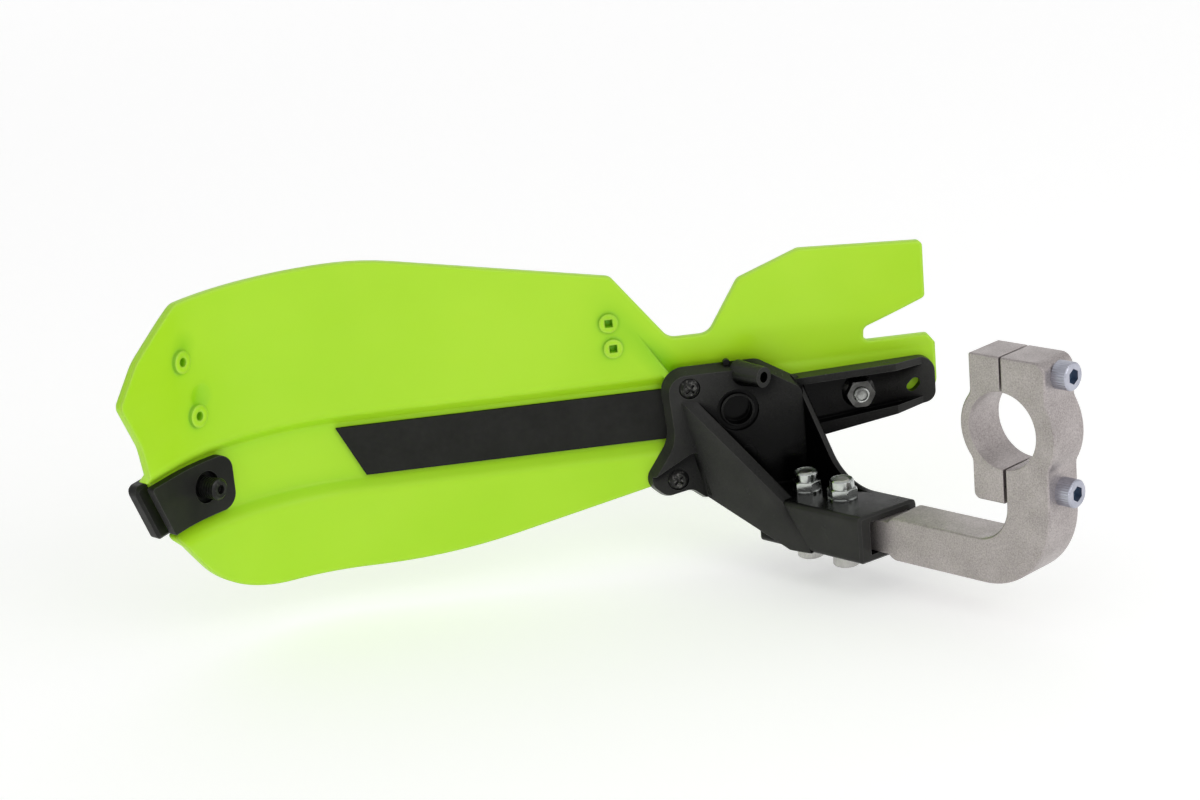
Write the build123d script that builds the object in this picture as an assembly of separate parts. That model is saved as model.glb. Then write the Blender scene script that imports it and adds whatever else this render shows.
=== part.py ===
from build123d import *
import os
from math import atan2, cos, radians, sin, sqrt, tan

# Motorcycle hand guard, left hand. Millimetres, +Z up.
# Origin: middle of the handlebar bore. X runs along the bar, inboard positive. Y points forward.
# The guard has its own frame, turned about Z, with x along the channel. The arm's line meets the
# panel at ARM_MEETS_X, so a longer reach carries the whole guard forward along the arm.

# Handlebar clamp
BAR_DIA = 28.6
CLAMP_WIDTH = 17.5
EAR_HEIGHT = 12.7
SPLIT_GAP = 1.0
CAP_WALL = 3.9
CAP_BULGE = 4.7
REAR_WALL = 7.9
REAR_BULGE = 3.5
EAR_BLEND = 4.0
CAP_TOP_CORNER = 1.0
CAP_CORNER = 2.5
REAR_CORNER = 4.5

# Clamp arm
ARM_DROP = 50.4
ARM_HEIGHT = 16.6
BRACKET_STANDOFF = 62.4
ELBOW_OUTER = 29.5
ELBOW_INNER = 14.0
SHOULDER_ROUND = 4.5
SPIGOT_HEIGHT = 12.2
SPIGOT_LENGTH = 48.0
SPIGOT_INBOARD = 6.0
ARM_EDGE = 0.5

# M6 fasteners
THREAD_DIA = 6.0
HOLE_CLEARANCE = 0.4
TAP_CLEARANCE = 0.1
HEAD_DIA = 10.2
HEAD_HEIGHT = 6.0
HEX_KEY = 5.0
HEX_DEPTH = 3.0
HEAD_CHAMFER = 0.5
CLAMP_BOLT_LENGTH = 30.0
CLAMP_BOLT_OFFSET = 7.0
SOCKET_BOLT_LENGTH = 28.0
SOCKET_BOLT_SPACING = 17.5
SOCKET_BOLT_FROM_MOUTH = 21.4
NUT_FLATS = 10.0
NUT_HEX_HEIGHT = 4.4
NUT_HEIGHT = 8.0
NUT_COLLAR_DIA = 9.2
COLLAR_BEVEL = 0.6
NUT_BASE_DIA = 11.0
NUT_BASE_HEIGHT = 0.9
INSERT_HEIGHT = 2.2
INSERT_LIP = 0.5
INSERT_DIA = 7.8

# Bracket socket
MOUTH_GAP = 3.0
MOUTH_BEVEL = 0.9
MOUTH_SETBACK = 1.8
MOUTH_LIP = 2.6
SOCKET_LENGTH = 51.0
SOCKET_END_WALL = 4.0
SPIGOT_CLEARANCE = 0.3
SPIGOT_LIFT = 0.2
SPIGOT_PLAY = 3.75
SOCKET_WALL = 4.8
SOCKET_CHEEK = 5.0
SOCKET_ROOF = 2.9
SOCKET_EDGE = 2.0
SOCKET_PAD = 1.8
SOCKET_PAD_WIDTH = 12.4

# Guard frame and shell section
GUARD_YAW = -38.0
GUARD_REACH = 92.5
ARM_MEETS_X = -72.27
SHELL_WALL = 3.0
CHANNEL_MID = -10.5
CHANNEL_FLOOR = 22.5
CHANNEL_SLOPE = 4.0
CHANNEL_DEPTH = 4.5
WING_SLOPE = 17.0
WING_FLOOR_RISE = 2.5
CREASE_ROUND = 1.2
PANEL_CREASE = 4.0
WING_CREASE = 30.0
BEND_START = -230.0
BEND_RADIUS = 75.0
BEND_ANGLE = 58.0
END_CUT_ANGLE = 40.0

# Shell outline, heights above the bar axis and places along the channel
TOP_EDGE = 62.8
BOTTOM_EDGE = -56.0
SHOULDER_X = -219.0
NECK_LEFT_X = -128.0
NECK_LEFT_TOP = 45.7
VALLEY_LEFT_X = -107.5
VALLEY_RIGHT_X = -92.5
VALLEY_TOP = 19.2
WING_KNEE_X = -80.0
WING_KNEE_TOP = 39.3
WING_LEFT_X = -56.2
WING_TOP = 48.3
WING_DROP = 2.3
WING_END_X = -8.6
NOTCH_TOP = 24.1
NOTCH_DEPTH = 24.0
NOTCH_INNER_TOP = 14.3
NOTCH_FLOOR = 8.4
TIP_X = -4.4
LOBE_BOTTOM = -15.0
SKIRT_X = -68.0
SKIRT_BOTTOM = -20.5
BELLY_X = -104.0
BELLY_BOTTOM = -35.0
KEEL_X = -197.0
TOP_SWEEP_RUN = 10.2
KEEL_SWEEP = 240.0
NECK_ROUND = 4.0
VALLEY_ROUND = 6.0
WING_ROUND = 3.0
NOTCH_ROUND = 2.5
TIP_BEVEL = (3.0, 4.0)
TIP_ROUND = 2.0
LOBE_ROUND = 6.0
SKIRT_ROUND = 8.0
LUG_FLARE = (4.0, 3.3)

# Shell end outline, measured along the cut plane from the start of the bend
END_DIP = 1.6
END_CORNER = 61.5
END_BREAK = 87.2
END_BREAK_TOP = 47.0
END_TIP = 99.2
END_TIP_TOP = 34.6
END_TIP_ROUND = 3.0
END_WAIST = 90.4
END_WAIST_TOP = 8.0
END_HEEL = 76.5
END_SETBACK = 4.0
END_KEEL = 48.0
END_KEEL_SWEEP = 50.0
END_TOP_SWEEP = 110.0
END_CORNER_ROUND = 8.0
END_BREAK_ROUND = 20.0
END_WAIST_RISE = 9.0
END_WAIST_ROUND = 14.0
END_LIP = 1.5
TRIM_ROOM = 110.0

# Moulded bosses on the shell
BOSS_DIA = 8.4
BOSS_HEIGHT = 1.4
PILOT_DIA = 3.4
PILOT_FLOOR = 1.0
DIMPLE_DIA = 9.0
DIMPLE_DEPTH = 1.1
DIMPLES = ((48.9, 45.2), (45.0, 24.9))
LEFT_BOSSES = ((51.0, 40.1), (47.2, 18.3))
RIGHT_BOSSES = ((-130.2, 28.3), (-129.2, 18.3))
RIGHT_BOSS_DIA = 7.4
RIGHT_PILOT = 3.0
RIDGE_TOP = (-131.0, 38.0)
RIDGE_FOOT = (-109.7, 5.0)

# Channel strip
STRIP_HEIGHT = 19.6
STRIP_MID = -11.0
STRIP_THICK = 1.5
STRIP_TOP_LEFT = -236.0
STRIP_SLANT = 9.6
STRIP_RIGHT = -106.0

# Bracket plate, webs and rail, in the guard frame
PLATE_THICK = 5.5
PLATE_TAPER = 22.0
PLATE_LEFT = -113.0
PLATE_TOP = 7.8
PLATE_PEAK_X = -75.0
PLATE_RIGHT = -57.0
PLATE_BOTTOM = -45.5
PLATE_FALL = 11.0
PLATE_ROUND = 9.0
PLATE_HEEL = (14.0, 2.0)
EAR_LEFT = -122.0
EAR_BOTTOM = -43.5
EAR_ROUND = 6.0
EAR_RISE = 7.5
EAR_WIDTH = (8.0, 18.0)
EAR_NECK = (11.0, 23.5)
EAR_NECK_ROUND = 14.0
STEP_TOP = (22.0, 20.0)
STEP_FOOT = 25.0
STEP_LEFT_RISE = 5.0
NIB_X = -86.8
NIB_DIA = 2.8
NIB_HEIGHT = 2.0
EJECTOR_X = -81.2
EJECTOR_Z = -27.8
EJECTOR_DIA = 6.4
EJECTOR_HEIGHT = 0.5
WEB_THICK = 4.0
WEB_START = 39.0
WEB_RUNBACK = 17.0
WEB_TUCK = 5.6
WEB_FOOT_TOP = (-109.8, 0.3)
WEB_FOOT_LOW = (-98.8, -43.5)
WEB_LOW = -44.0
WEB_STEP = 4.4
GUSSET_TOP = 0.0
GUSSET_CORNER = 29.5
GUSSET_SWEEP = 22.0
GUSSET_PEAK = 51.0
GUSSET_CROWN = 5.0
KEY_LEFT = -104.5
KEY_CLEARANCE = 0.8
RAIL_LIP = 2.8
RAIL_FRONT = 3.0
RAIL_DIP = 2.0
RAIL_TOP_ROUND = 6.0
RAIL_END_ROUND = 4.5
LIP_FADE = (16.0, 5.0)
RAIL_FLOOR = 3.5
RAIL_LEFT = -66.0
RAIL_RIGHT = -5.8
RAIL_TOP = 0.3
RAIL_END_BOTTOM = -17.6
RAIL_ROOT_BOTTOM = -27.5
RAIL_BOLT_X = -36.0
SLOT_X = -14.4
SLOT_LENGTH = 6.0
SLOT_WIDTH = 4.0
RECESS_X = -84.3
RECESS_Z = -10.2
RECESS_DIA = 11.4
RECESS_DEPTH = 4.5
RECESS_RING = 13.0
GROOVE_DIA = 16.4
GROOVE_DEPTH = 1.6
SPARE_BOSS_X = -79.5
SPARE_BOSS_Z = 3.4
SPARE_BOSS_BASE = 10.0
SPARE_BOSS_END = 8.0
SPARE_BOSS_HEIGHT = 8.0
SPARE_HOLE = 4.2
SPARE_HOLE_DEPTH = 9.0

# Pan head screws that hold the plate to the shell
SCREW_PLACES = ((-102.1, 0.4), (-108.8, -35.8))
SCREW_DIA = 4.0
SCREW_HEAD_DIA = 7.8
SCREW_HEAD_HEIGHT = 2.6
SCREW_SEAT_DEPTH = 1.6
SCREW_BOSS_DIA = 8.4
SCREW_BOSS_HEIGHT = 2.5
SCREW_LUG = 5.8
EAR_STEP = 2.0
CROSS_LENGTH = 4.4
CROSS_WIDTH = 1.0
CROSS_DEPTH = 1.5

# Rail bolt and flange nut
FLANGE_DIA = 13.0
FLANGE_HEIGHT = 1.6
FLANGE_NUT_HEIGHT = 4.8
RAIL_BOLT_PROUD = 1.6
PAN_DIA = 12.0
PAN_HEIGHT = 3.3
PAN_BEVEL = 1.4
RAIL_CUP_DIA = 4.4
RAIL_CUP_DEPTH = 0.8

# End plate, bumper and bolt
END_BOLT_ANGLE = 46.3
END_BOLT_Z = -9.6
END_BOLT_PROUD = 8.9
END_BOLT_DIA = 8.0
STUD_BEVEL = 0.9
STUD_CENTRE_DIA = 3.4
STUD_CENTRE_DEPTH = 2.0
TAB_THICK = 3.4
TAB_HEIGHT = 21.0
TAB_RIGHT = 43.5
TAB_CORNER = 6.0
TAB_RECESS_DIA = 12.0
TAB_RECESS_DEPTH = 1.8
TAB_END_ROUND = 1.0
BUMPER_THICK = 6.0
BUMPER_HEIGHT = 23.4
BUMPER_MID = -11.4
BUMPER_OVERHANG = 3.8
BUMPER_RIGHT = 42.0
BUMPER_END_ROUND = 2.5
BUMPER_EDGE = 1.2
SINK_DIA = 15.0
SINK_DEPTH = 0.4

# Worked-out places
YAW = radians(GUARD_YAW)
SPLIT = SPLIT_GAP / 2
BORE = BAR_DIA / 2
HALF_HEIGHT = BORE + EAR_HEIGHT
CAP_FRONT = BORE + CAP_WALL - CAP_BULGE
REAR_BACK = BORE + REAR_WALL - REAR_BULGE
CLAMP_BOLT_Z = BORE + CLAMP_BOLT_OFFSET
ARM_TOP = -ARM_DROP + ARM_HEIGHT / 2
ARM_BOTTOM = -ARM_DROP - ARM_HEIGHT / 2
ARM_REACH = GUARD_REACH / cos(YAW) - BRACKET_STANDOFF
SPIGOT_OUTBOARD = -CLAMP_WIDTH / 2
SPIGOT_END = ARM_REACH + SPIGOT_LENGTH
MOUTH = ARM_REACH + MOUTH_GAP
SOCKET_END = MOUTH + SOCKET_LENGTH
CAVITY_INBOARD = SPIGOT_INBOARD + SPIGOT_CLEARANCE
CAVITY_OUTBOARD = SPIGOT_OUTBOARD - SPIGOT_PLAY
CAVITY_HEIGHT = SPIGOT_HEIGHT + 2 * SPIGOT_LIFT
SOCKET_INBOARD = CAVITY_INBOARD + SOCKET_WALL
SOCKET_OUTBOARD = CAVITY_OUTBOARD - SOCKET_CHEEK
SOCKET_TOP = -ARM_DROP + CAVITY_HEIGHT / 2 + SOCKET_ROOF
SOCKET_BOTTOM = -ARM_DROP - CAVITY_HEIGHT / 2 - SOCKET_ROOF
SOCKET_SEAT = SOCKET_BOTTOM - SOCKET_PAD
SOCKET_BOLT_X = (CAVITY_INBOARD + CAVITY_OUTBOARD) / 2
CHANNEL_FACE = GUARD_REACH + CHANNEL_DEPTH
CHANNEL_BACK = CHANNEL_FACE + SHELL_WALL
CHANNEL_TOP = CHANNEL_MID + CHANNEL_FLOOR / 2
CHANNEL_BOTTOM = CHANNEL_MID - CHANNEL_FLOOR / 2
WING_FLOOR_TOP = CHANNEL_TOP + WING_FLOOR_RISE
BEND_CENTRE = GUARD_REACH - BEND_RADIUS
PLATE_FRONT = GUARD_REACH - PLATE_THICK
RAIL_FACE = CHANNEL_FACE - RAIL_FLOOR
SCREW_DEPTHS = (CHANNEL_FACE, GUARD_REACH)
SCREW_FRONTS = (PLATE_FRONT, PLATE_FRONT + EAR_STEP)
BOLT_HOLE = THREAD_DIA + HOLE_CLEARANCE
FAR = 400.0
TOUCH = 0.01
GUARD_SLIDE = GUARD_REACH * tan(YAW) - ARM_MEETS_X
GUARD = Location((GUARD_SLIDE * cos(YAW), GUARD_SLIDE * sin(YAW), 0), (0, 0, GUARD_YAW))


def outline(corners):
    """Closed face from corners given as (x, y, corner radius)."""
    points = [(x, y) for x, y, _ in corners]
    radii = [radius for _, _, radius in corners]
    return make_face(FilletPolyline(*points, radius=radii, close=True))


def block(x0, x1, y0, y1, z0, z1):
    """Box between two corners."""
    middle = ((x0 + x1) / 2, (y0 + y1) / 2, (z0 + z1) / 2)
    return Pos(*middle) * Box(x1 - x0, y1 - y0, z1 - z0)


def through_guard(face, y0, y1):
    """Prism of a face drawn in the guard's x and z, between two depths."""
    placed = Plane(origin=(0, y0, 0), x_dir=(1, 0, 0), z_dir=(0, -1, 0)) * face
    return extrude(placed, amount=-(y1 - y0))


def pin(plane, diameter, start, end):
    """Cylinder along a plane's normal, from start to end."""
    return extrude(plane.offset(start) * Circle(diameter / 2), amount=end - start)


def rider_side(x, z, y):
    """Plane on the guard at depth y, facing the rider."""
    return Plane(origin=(x, y, z), x_dir=(1, 0, 0), z_dir=(0, -1, 0))


def on_bend(angle, z, depth):
    """Plane on the bent end at a bend angle, depth past the panel face, facing the rider."""
    radius = BEND_RADIUS + depth
    out = Vector(-sin(radians(angle)), cos(radians(angle)), 0)
    centre = Vector(BEND_START, BEND_CENTRE, z)
    along = Vector(cos(radians(angle)), sin(radians(angle)), 0)
    return Plane(origin=centre + out * radius, x_dir=along, z_dir=-out)


def end_cut_plane():
    """Plane on which the bent end's outline is drawn."""
    angle = radians(END_CUT_ANGLE)
    origin = (BEND_START, GUARD_REACH, 0)
    return Plane(origin=origin, x_dir=(-cos(angle), -sin(angle), 0), z_dir=(-sin(angle), cos(angle), 0))


def straight_run(section, left, right):
    """Straight wall of a section drawn in y and z."""
    face = Plane(origin=(left, 0, 0), x_dir=(0, 1, 0), z_dir=(1, 0, 0)) * section
    return extrude(face, amount=right - left)


def curled_end(section):
    """Bend and tangent tail of a section drawn in y and z."""
    face = Plane(origin=(BEND_START, 0, 0), x_dir=(0, 1, 0), z_dir=(1, 0, 0)) * section
    axis = Axis((BEND_START, BEND_CENTRE, 0), (0, 0, 1))
    end_face = face.rotate(axis, BEND_ANGLE)
    angle = radians(BEND_ANGLE)
    bend = revolve(face, axis=axis, revolution_arc=BEND_ANGLE)
    tail = extrude(end_face, amount=BEND_RADIUS, dir=(-cos(angle), -sin(angle), 0))
    return bend + tail


def slab_section(y0, y1, mid, height):
    """Plain rectangular wall section."""
    return Pos((y0 + y1) / 2, mid) * Rectangle(y1 - y0, height)


def corner_radius(run, rise, length):
    """Radius that rounds the corner between a level edge and a slope, starting a run before it."""
    return run / tan(atan2(rise, length) / 2)


def wall_shift(slope):
    """Shift of the outer creases that keeps the wall even round a slope."""
    return SHELL_WALL * tan(atan2(CHANNEL_DEPTH, slope) / 2)


def channel_section(floor_top, upper_slope, upper_crease):
    """Wall section of the shell, with the channel pressed outwards."""
    upper = floor_top + upper_slope
    lower = CHANNEL_BOTTOM - CHANNEL_SLOPE
    up = wall_shift(upper_slope)
    down = wall_shift(CHANNEL_SLOPE)
    back = GUARD_REACH + SHELL_WALL
    high = TOP_EDGE + TRIM_ROOM
    low = BOTTOM_EDGE - TRIM_ROOM
    return outline([
        (GUARD_REACH, high, 0),
        (GUARD_REACH, upper, upper_crease),
        (CHANNEL_FACE, floor_top, CREASE_ROUND),
        (CHANNEL_FACE, CHANNEL_BOTTOM, CREASE_ROUND),
        (GUARD_REACH, lower, PANEL_CREASE),
        (GUARD_REACH, low, 0),
        (back, low, 0),
        (back, lower - down, CREASE_ROUND),
        (CHANNEL_BACK, CHANNEL_BOTTOM - down, CREASE_ROUND),
        (CHANNEL_BACK, floor_top + up, CREASE_ROUND),
        (back, upper + up, CREASE_ROUND),
        (back, high, 0),
    ])


def shell_outline():
    """Outline of the straight part of the shell, in the guard's x and z."""
    lug_x, lug_z = SCREW_PLACES[1]
    lug_low = lug_z - SCREW_LUG
    notch_x = WING_END_X - NOTCH_DEPTH
    top_sweep = corner_radius(TOP_SWEEP_RUN, TOP_EDGE - NECK_LEFT_TOP, NECK_LEFT_X - SHOULDER_X)
    return outline([
        (BEND_START, TOP_EDGE, 0),
        (SHOULDER_X, TOP_EDGE, top_sweep),
        (NECK_LEFT_X, NECK_LEFT_TOP, NECK_ROUND),
        (VALLEY_LEFT_X, VALLEY_TOP, VALLEY_ROUND),
        (VALLEY_RIGHT_X, VALLEY_TOP, VALLEY_ROUND),
        (WING_KNEE_X, WING_KNEE_TOP, NECK_ROUND),
        (WING_LEFT_X, WING_TOP, WING_ROUND),
        (WING_END_X, WING_TOP - WING_DROP, TIP_ROUND),
        (WING_END_X, NOTCH_TOP, TIP_ROUND),
        (notch_x, NOTCH_INNER_TOP, NOTCH_ROUND),
        (notch_x, NOTCH_FLOOR, NOTCH_ROUND),
        (TIP_X - TIP_BEVEL[0], NOTCH_FLOOR, TIP_ROUND),
        (TIP_X, NOTCH_FLOOR - TIP_BEVEL[1], TIP_ROUND),
        (TIP_X, LOBE_BOTTOM, LOBE_ROUND),
        (SKIRT_X, SKIRT_BOTTOM, SKIRT_ROUND),
        (BELLY_X, BELLY_BOTTOM, NECK_ROUND),
        (lug_x + SCREW_LUG, lug_low, WING_ROUND),
        (lug_x - SCREW_LUG, lug_low, TIP_ROUND),
        (lug_x - SCREW_LUG - LUG_FLARE[0], BELLY_BOTTOM - LUG_FLARE[1], TIP_ROUND),
        (KEEL_X, BOTTOM_EDGE, KEEL_SWEEP),
        (BEND_START, BOTTOM_EDGE, 0),
    ])


def end_slant(z):
    """Place of the slanted free end along the end cut plane, at a height."""
    lean = (END_WAIST - END_HEEL) / (END_WAIST_TOP - CHANNEL_BOTTOM)
    return END_WAIST - (END_WAIST_TOP - z) * lean


def end_outline():
    """Outline of the bent end, on the end cut plane."""
    high = CHANNEL_TOP + END_LIP
    low = CHANNEL_BOTTOM - END_LIP
    setback_low = end_slant(low) - END_SETBACK
    return outline([
        (-BEND_RADIUS, TOP_EDGE, 0),
        (0, TOP_EDGE, END_TOP_SWEEP),
        (END_CORNER, TOP_EDGE - END_DIP, END_CORNER_ROUND),
        (END_BREAK, END_BREAK_TOP, END_BREAK_ROUND),
        (END_TIP, END_TIP_TOP, END_TIP_ROUND),
        (END_WAIST, END_WAIST_TOP + END_WAIST_RISE, END_WAIST_ROUND),
        (end_slant(high), high, END_LIP),
        (end_slant(high) - END_SETBACK, CHANNEL_TOP, END_LIP / 2),
        (setback_low, CHANNEL_BOTTOM, END_LIP / 2),
        (end_slant(low), low, END_LIP),
        (END_KEEL, BOTTOM_EDGE, END_KEEL_SWEEP),
        (-BEND_RADIUS, BOTTOM_EDGE, 0),
    ])


def end_prism(face):
    """Prism of a face drawn on the end cut plane, through the whole wall."""
    return extrude(end_cut_plane() * face, amount=TRIM_ROOM, both=True)


def ridge_side(side):
    """Prism on one side of the diagonal ridge, side is +1 inboard or -1 outboard."""
    lean = (RIDGE_FOOT[0] - RIDGE_TOP[0]) / (RIDGE_FOOT[1] - RIDGE_TOP[1])
    high = TOP_EDGE + TRIM_ROOM
    low = BOTTOM_EDGE - TRIM_ROOM
    top_x = RIDGE_TOP[0] + (high - RIDGE_TOP[1]) * lean
    foot_x = RIDGE_TOP[0] + (low - RIDGE_TOP[1]) * lean
    far = side * 3 * TRIM_ROOM
    corners = [(top_x, high, 0), (foot_x, low, 0), (foot_x + far, low, 0), (top_x + far, high, 0)]
    return through_guard(outline(corners), 0, 2 * GUARD_REACH)


def ridge():
    """Wall that closes the step between the panel and the sloped neck, along the diagonal."""
    lean = (RIDGE_FOOT[0] - RIDGE_TOP[0]) / (RIDGE_FOOT[1] - RIDGE_TOP[1])
    low = CHANNEL_TOP
    high = WING_FLOOR_TOP + WING_SLOPE + SHELL_WALL
    half = SHELL_WALL / 2
    low_x = RIDGE_TOP[0] + (low - RIDGE_TOP[1]) * lean
    high_x = RIDGE_TOP[0] + (high - RIDGE_TOP[1]) * lean
    corners = [
        (low_x - half, low, 0),
        (low_x + half, low, 0),
        (high_x + half, high, 0),
        (high_x - half, high, 0),
    ]
    return through_guard(outline(corners), GUARD_REACH, CHANNEL_BACK)


def screw_boss():
    """Plane on the channel floor under the upper plate screw, facing the rider."""
    x, z = SCREW_PLACES[0]
    return rider_side(x, z, CHANNEL_FACE)


def guard_shell():
    """Moulded shell: flat panel, wing and bent outer end, with its bosses and holes."""
    narrow = channel_section(CHANNEL_TOP, CHANNEL_SLOPE, PANEL_CREASE)
    wide = channel_section(WING_FLOOR_TOP, WING_SLOPE, WING_CREASE)
    panel = straight_run(narrow, BEND_START, TIP_X) & ridge_side(-1)
    wing = straight_run(wide, BEND_START, TIP_X) & ridge_side(1)
    flat = (panel + wing + ridge()) & through_guard(shell_outline(), 0, 2 * GUARD_REACH)
    curl = curled_end(narrow) & end_prism(end_outline())
    shell = flat + curl
    for angle, z in DIMPLES:
        shell -= on_bend(angle, z, 0) * dimple()
    pilot_end = PILOT_FLOOR - SHELL_WALL
    for angle, z in LEFT_BOSSES:
        place = on_bend(angle, z, 0)
        shell += pin(place, BOSS_DIA, -SHELL_WALL / 2, BOSS_HEIGHT)
        shell -= pin(place, PILOT_DIA, pilot_end, BOSS_HEIGHT)
    for x, z in RIGHT_BOSSES:
        place = rider_side(x, z, GUARD_REACH)
        shell += pin(place, RIGHT_BOSS_DIA, -SHELL_WALL / 2, BOSS_HEIGHT)
        square = place.offset(pilot_end) * Rectangle(RIGHT_PILOT, RIGHT_PILOT)
        shell -= extrude(square, amount=BOSS_HEIGHT - pilot_end)
    shell += pin(screw_boss(), SCREW_BOSS_DIA, -SHELL_WALL / 2, SCREW_BOSS_HEIGHT)
    for (x, z), depth in zip(SCREW_PLACES, SCREW_DEPTHS):
        shell -= pin(rider_side(x, z, depth), SCREW_DIA + TAP_CLEARANCE, pilot_end, SCREW_BOSS_HEIGHT)
    shell -= pin(rider_side(RAIL_BOLT_X, CHANNEL_MID, CHANNEL_FACE), BOLT_HOLE, -SHELL_WALL, BOSS_HEIGHT)
    end_hole = END_BOLT_DIA + HOLE_CLEARANCE
    shell -= pin(on_bend(END_BOLT_ANGLE, END_BOLT_Z, CHANNEL_DEPTH), end_hole, -2 * SHELL_WALL, SHELL_WALL)
    return shell


def dimple():
    """Ball that leaves a shallow moulding dimple in a face."""
    radius = (DIMPLE_DIA ** 2 / 4 + DIMPLE_DEPTH ** 2) / (2 * DIMPLE_DEPTH)
    return Pos(0, 0, radius - DIMPLE_DEPTH) * Sphere(radius)


def channel_strip():
    """Thin strip laid on the channel floor, with a slanted outer end."""
    section = slab_section(CHANNEL_FACE - STRIP_THICK, CHANNEL_FACE, STRIP_MID, STRIP_HEIGHT)
    half = STRIP_HEIGHT / 2
    corners = [
        (STRIP_TOP_LEFT, STRIP_MID + half, 0),
        (STRIP_RIGHT, STRIP_MID + half, 0),
        (STRIP_RIGHT, STRIP_MID - half, 0),
        (STRIP_TOP_LEFT + STRIP_SLANT, STRIP_MID - half, 0),
    ]
    whole = straight_run(section, BEND_START, STRIP_RIGHT) + curled_end(section)
    return whole & through_guard(outline(corners), GUARD_REACH / 2, 2 * GUARD_REACH)


def end_piece(y0, y1, mid, height, right, overhang, end_round):
    """Slab that follows the bent end, rounded inboard and slanted at its free end."""
    high = mid + height / 2
    low = mid - height / 2
    face = outline([
        (right, high, TAB_CORNER),
        (end_slant(high) + overhang, high, end_round),
        (end_slant(low) + overhang, low, end_round),
        (right, low, TAB_CORNER),
    ])
    return curled_end(slab_section(y0, y1, mid, height)) & end_prism(face)


def end_plate():
    """Tab on the channel floor at the outer end, with a round recess for the stud."""
    y0 = CHANNEL_FACE - TAB_THICK
    tab = end_piece(y0, CHANNEL_FACE, CHANNEL_MID, TAB_HEIGHT, TAB_RIGHT, 0, TAB_END_ROUND)
    front = on_bend(END_BOLT_ANGLE, END_BOLT_Z, CHANNEL_DEPTH - TAB_THICK)
    tab -= pin(front, TAB_RECESS_DIA, -TAB_RECESS_DEPTH, TAB_THICK)
    tab -= pin(front, END_BOLT_DIA + TAP_CLEARANCE, -2 * TAB_THICK, TAB_THICK)
    return tab


def end_bumper():
    """Thick pad on the outside of the channel at the outer end, with a bevelled free end."""
    depth = CHANNEL_DEPTH + SHELL_WALL + BUMPER_THICK
    y0 = CHANNEL_BACK
    y1 = CHANNEL_BACK + BUMPER_THICK
    pad = end_piece(y0, y1, BUMPER_MID, BUMPER_HEIGHT, BUMPER_RIGHT, BUMPER_OVERHANG, BUMPER_END_ROUND)
    outward = Axis((BEND_START, GUARD_REACH, 0), end_cut_plane().x_dir)
    pad = chamfer(pad.faces().sort_by(outward)[-1].edges(), BUMPER_EDGE)
    outer = on_bend(END_BOLT_ANGLE, END_BOLT_Z, depth)
    pad -= pin(outer, END_BOLT_DIA + HOLE_CLEARANCE, -BUMPER_THICK, 2 * BUMPER_THICK)
    pad -= pin(outer, SINK_DIA, -BUMPER_THICK, SINK_DEPTH)
    pad -= outer.offset(SINK_DEPTH) * sunk_cone(SINK_DIA, END_BOLT_DIA)
    return pad


def sunk_cone(wide, narrow):
    """Countersunk cone, wide end down."""
    return Cone(wide / 2, narrow / 2, (wide - narrow) / 2, align=(Align.CENTER, Align.CENTER, Align.MIN))


def end_bolt():
    """Countersunk bolt through the pad, the shell and the tab, with its stud end showing."""
    depth = CHANNEL_DEPTH + SHELL_WALL + BUMPER_THICK
    outer = on_bend(END_BOLT_ANGLE, END_BOLT_Z, depth)
    stud_end = BUMPER_THICK + SHELL_WALL + TAB_THICK - TAB_RECESS_DEPTH + END_BOLT_PROUD
    head = outer.offset(SINK_DEPTH)
    tip = stud_end - SINK_DEPTH
    stud = pin(Plane.XY, END_BOLT_DIA, SINK_DEPTH, tip)
    stud = chamfer(stud.edges().sort_by(Axis.Z)[-1:], STUD_BEVEL)
    stud -= pin(Plane.XY, STUD_CENTRE_DIA, tip - STUD_CENTRE_DEPTH, tip)
    bolt = sunk_cone(SINK_DIA, END_BOLT_DIA) + stud
    bolt -= extrude(RegularPolygon(HEX_KEY / 2, 6, major_radius=False), amount=HEX_DEPTH)
    return head * bolt


def ear_profile(front, bulge_radius, ear, sign):
    """Round of the clamp half joined to its flat ears."""
    disc = Circle(bulge_radius) - Pos(-sign * FAR / 2 + sign * SPLIT, 0) * Rectangle(FAR, FAR)
    profile = front + disc
    height = sqrt(bulge_radius ** 2 - ear ** 2)
    meets = [v for v in profile.vertices() if is_at(v, sign * ear, height)]
    return fillet(meets, EAR_BLEND) - Circle(BORE)


def is_at(vertex, x, y):
    """True where a sketch vertex lies at x and at plus or minus y."""
    return abs(vertex.X - x) < TOUCH and abs(abs(vertex.Y) - y) < TOUCH


def is_rim(edge):
    """True for a side edge of a clamp half that is neither on the bore nor on the split."""
    on_bore = edge.geom_type == GeomType.CIRCLE and abs(edge.radius - BORE) < TOUCH
    return not on_bore and abs(abs(edge.center().Y) - SPLIT) > TOUCH


def broken_edges(half):
    """Clamp half with the outer edges of its two sides broken."""
    sides = half.faces().filter_by(Axis.X)
    return chamfer([edge for edge in sides.edges() if is_rim(edge)], ARM_EDGE)


def clamp_cap():
    """Front half of the bar clamp, tapped for the clamp bolts."""
    block_face = outline([
        (SPLIT, -HALF_HEIGHT, 0),
        (CAP_FRONT, -HALF_HEIGHT, CAP_CORNER),
        (CAP_FRONT, HALF_HEIGHT, CAP_TOP_CORNER),
        (SPLIT, HALF_HEIGHT, 0),
    ])
    profile = ear_profile(block_face, BORE + CAP_WALL, CAP_FRONT, 1)
    cap = broken_edges(extrude(Plane.YZ * profile, amount=CLAMP_WIDTH / 2, both=True))
    for place in clamp_bolt_seats():
        cap -= pin(place, THREAD_DIA + TAP_CLEARANCE, -FAR, 0)
    return cap


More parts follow.
